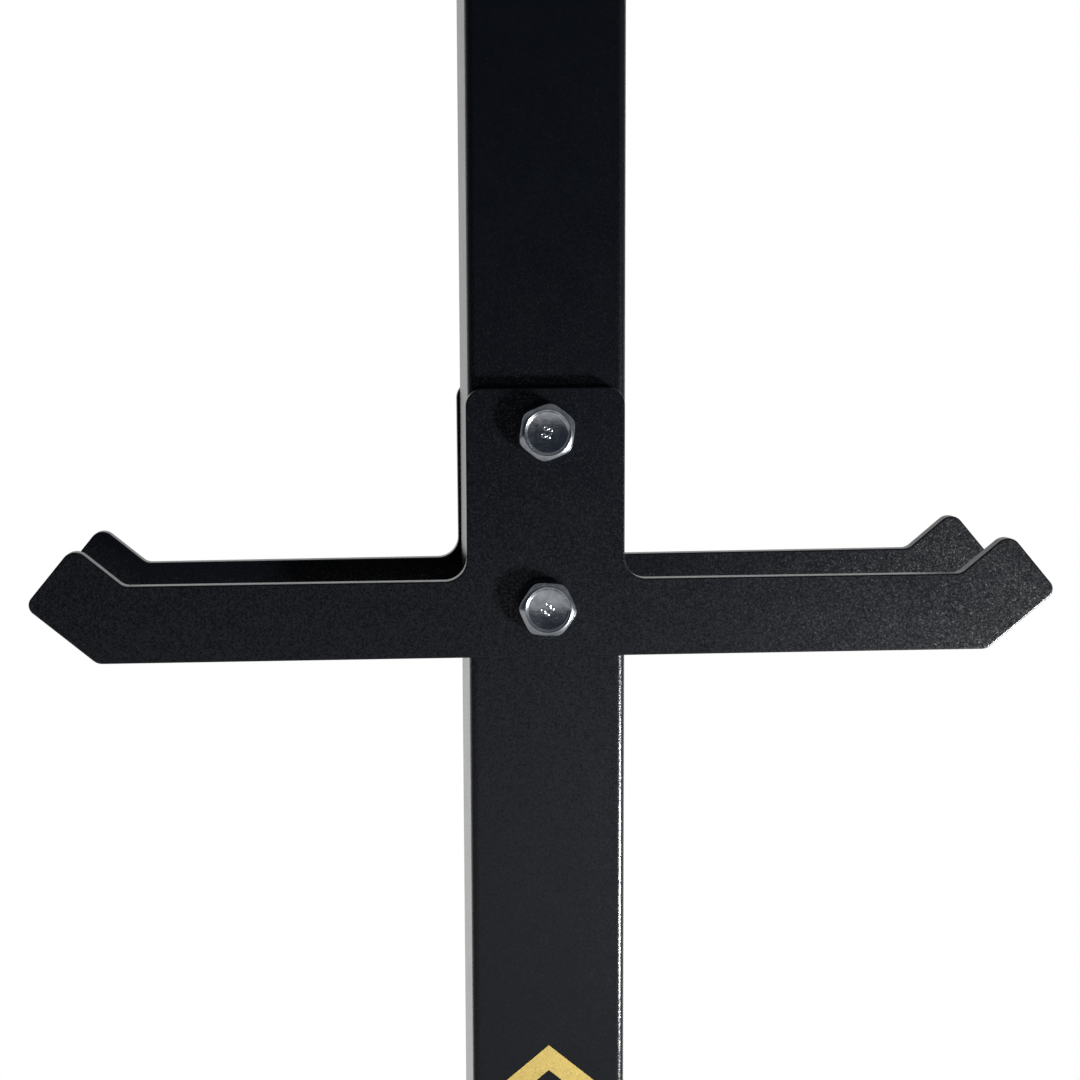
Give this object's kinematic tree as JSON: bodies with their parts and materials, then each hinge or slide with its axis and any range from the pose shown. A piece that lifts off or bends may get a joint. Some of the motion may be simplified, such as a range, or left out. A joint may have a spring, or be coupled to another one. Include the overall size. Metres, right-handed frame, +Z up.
{
  "type": "double-sided hook-arm storage stand",
  "caption": "Free-standing square steel post on an H-shaped base, with a front and a rear hook plate whose arms bend up at both ends to hold long gym equipment.",
  "frame": {"origin": "on the floor, below the centre of the post", "axes": "+Z up; X runs along the hook arms; the front of the post, with the bolt heads and the printed mark, faces -Y"},
  "size_m": [0.45, 0.456, 1.2],
  "materials": {
    "black_powder_coat": "black fine-textured powder coat, satin",
    "zinc_plate": "bright clear zinc plating",
    "black_plastic": "moulded, lightly grained",
    "black_rubber": "moulded rubber, dull",
    "white_nylon": "natural nylon, slightly waxy",
    "gold_print": "flat printed gold ink"
  },
  "bodies": {
    "root": {"base_crossbar": "black_powder_coat", "front_base_gusset": "black_powder_coat", "front_hook_plate": "black_powder_coat", "front_left_end_cap": "black_plastic", "front_left_pad": "black_rubber", "front_left_pad_screw": "zinc_plate", "front_left_weld_nut": "zinc_plate", "front_right_end_cap": "black_plastic", "front_right_pad": "black_rubber", "front_right_pad_screw": "zinc_plate", "front_right_weld_nut": "zinc_plate", "gold_mark": "gold_print", "left_base_bolt": "zinc_plate", "left_base_nut": "zinc_plate", "left_base_nylon_ring": "white_nylon", "left_base_washer": "zinc_plate", "left_foot_tube": "black_powder_coat", "left_weld_bead": "black_powder_coat", "lower_base_bolt": "zinc_plate", "lower_base_nut": "zinc_plate", "lower_base_nylon_ring": "white_nylon", "lower_base_washer": "zinc_plate", "lower_hook_bolt": "zinc_plate", "lower_hook_nut": "zinc_plate", "lower_hook_nylon_ring": "white_nylon", "lower_hook_washer": "zinc_plate", "rear_base_gusset": "black_powder_coat", "rear_hook_plate": "black_powder_coat", "rear_left_end_cap": "black_plastic", "rear_left_pad": "black_rubber", "rear_left_pad_screw": "zinc_plate", "rear_left_weld_nut": "zinc_plate", "rear_right_end_cap": "black_plastic", "rear_right_pad": "black_rubber", "rear_right_pad_screw": "zinc_plate", "rear_right_weld_nut": "zinc_plate", "right_base_bolt": "zinc_plate", "right_base_nut": "zinc_plate", "right_base_nylon_ring": "white_nylon", "right_base_washer": "zinc_plate", "right_foot_tube": "black_powder_coat", "right_weld_bead": "black_powder_coat", "upper_base_bolt": "zinc_plate", "upper_base_nut": "zinc_plate", "upper_base_nylon_ring": "white_nylon", "upper_base_washer": "zinc_plate", "upper_hook_bolt": "zinc_plate", "upper_hook_nut": "zinc_plate", "upper_hook_nylon_ring": "white_nylon", "upper_hook_washer": "zinc_plate", "upright_top_cap": "black_plastic", "upright_tube": "black_powder_coat"}
  },
  "joints": []
}
